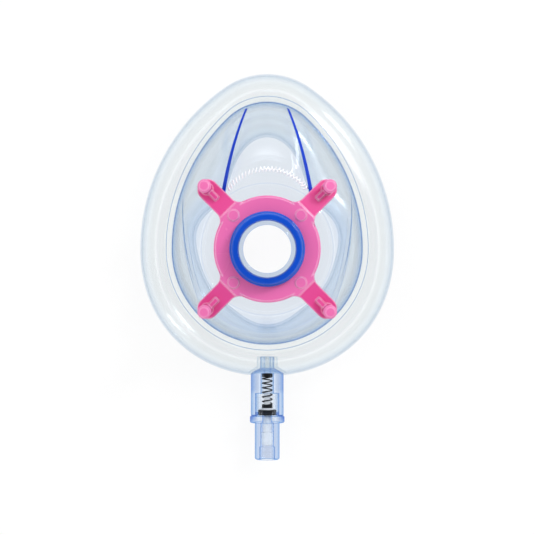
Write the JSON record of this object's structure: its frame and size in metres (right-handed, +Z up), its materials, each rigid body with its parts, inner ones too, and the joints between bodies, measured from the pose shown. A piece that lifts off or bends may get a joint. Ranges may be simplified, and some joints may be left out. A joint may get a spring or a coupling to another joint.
{
  "type": "anesthesia face mask",
  "caption": "Small clear face mask with an inflatable egg-shaped cushion, four-post hook ring, colour collar on a tube connector, and a spring check valve at the chin.",
  "frame": {"origin": "on the plane where the cushion meets the face, straight below the connector tube's axis", "axes": "+Z up along the connector tube, away from the face; +Y towards the nose end, so the inflation valve points to -Y; +X completes the frame"},
  "size_m": [0.0688, 0.1048, 0.046],
  "materials": {
    "clear_dome": "clear, blue tint, glossy",
    "clear_film": "clear soft film, smooth",
    "pink_plastic": "satin moulded",
    "blue_plastic": "smooth moulded",
    "dark_blue": "smooth",
    "clear_valve": "clear, blue tint",
    "white_plastic": "moulded",
    "black_rubber": "smooth",
    "black_wire": "dark coated steel wire"
  },
  "bodies": {
    "mask": {"dome": "clear_dome", "air_cushion": "clear_film", "hook_ring": "pink_plastic", "collar_ring": "blue_plastic", "nose_line_left": "dark_blue", "nose_line_right": "dark_blue", "valve_housing": "clear_valve", "valve_socket": "clear_valve", "valve_spring": "black_wire"},
    "valve_plunger": {"valve_stem": "white_plastic", "valve_seal": "black_rubber"}
  },
  "joints": [
    {"name": "plunger_slide", "type": "slide", "parent": "mask", "child": "valve_plunger", "axis": [0, 1, 0], "range_m": [0, 0.0015], "stiffness_N_per_m": 150, "springref_m": -0.002, "deforming": ["valve_spring"]}
  ]
}
